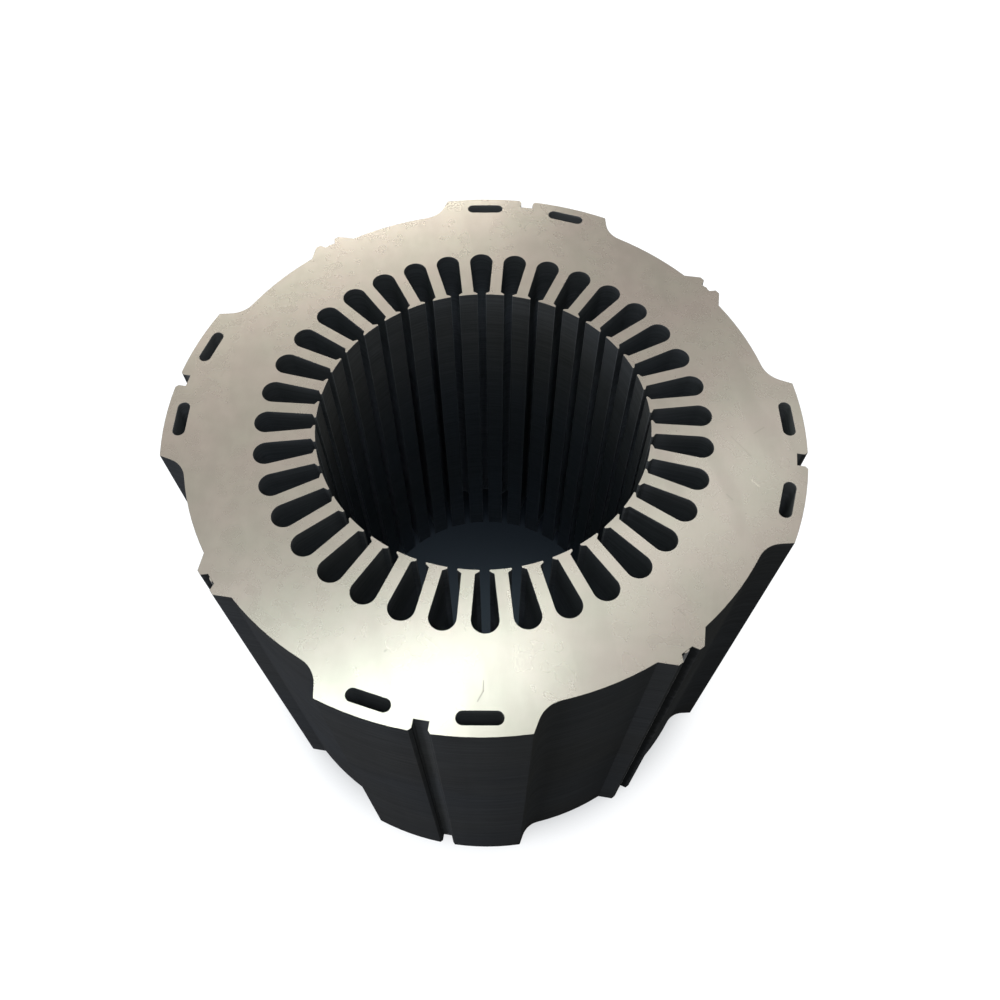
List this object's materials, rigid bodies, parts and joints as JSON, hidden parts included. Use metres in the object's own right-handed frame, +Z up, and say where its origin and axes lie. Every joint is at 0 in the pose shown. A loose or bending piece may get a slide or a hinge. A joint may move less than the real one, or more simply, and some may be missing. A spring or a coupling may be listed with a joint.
{
  "type": "stator lamination stack",
  "caption": "Welded stack of punched electrical-steel sheets, the core of a motor's stator, with winding slots round its bore, outer lobes with key notches and oblong holes, and weld ribs.",
  "frame": {"origin": "centre of the bore at the stack's lower face", "axes": "+Z up along the bore; the lobes with their key notches lie on +X, +Y, -X and -Y, and the weld ribs halfway between them"},
  "size_m": [0.2798, 0.2798, 0.225],
  "materials": {
    "bare_steel": "matt rolled sheet with a soft sheen",
    "dark_sheet_edges": "dark oxidised and varnished cut edges",
    "weld_metal": "rough dark weld bead"
  },
  "bodies": {
    "root": {"top_lamination": "bare_steel", "lamination_pack": "dark_sheet_edges", "weld_bead_1": "weld_metal", "weld_bead_2": "weld_metal", "weld_bead_3": "weld_metal", "weld_bead_4": "weld_metal"}
  },
  "joints": []
}
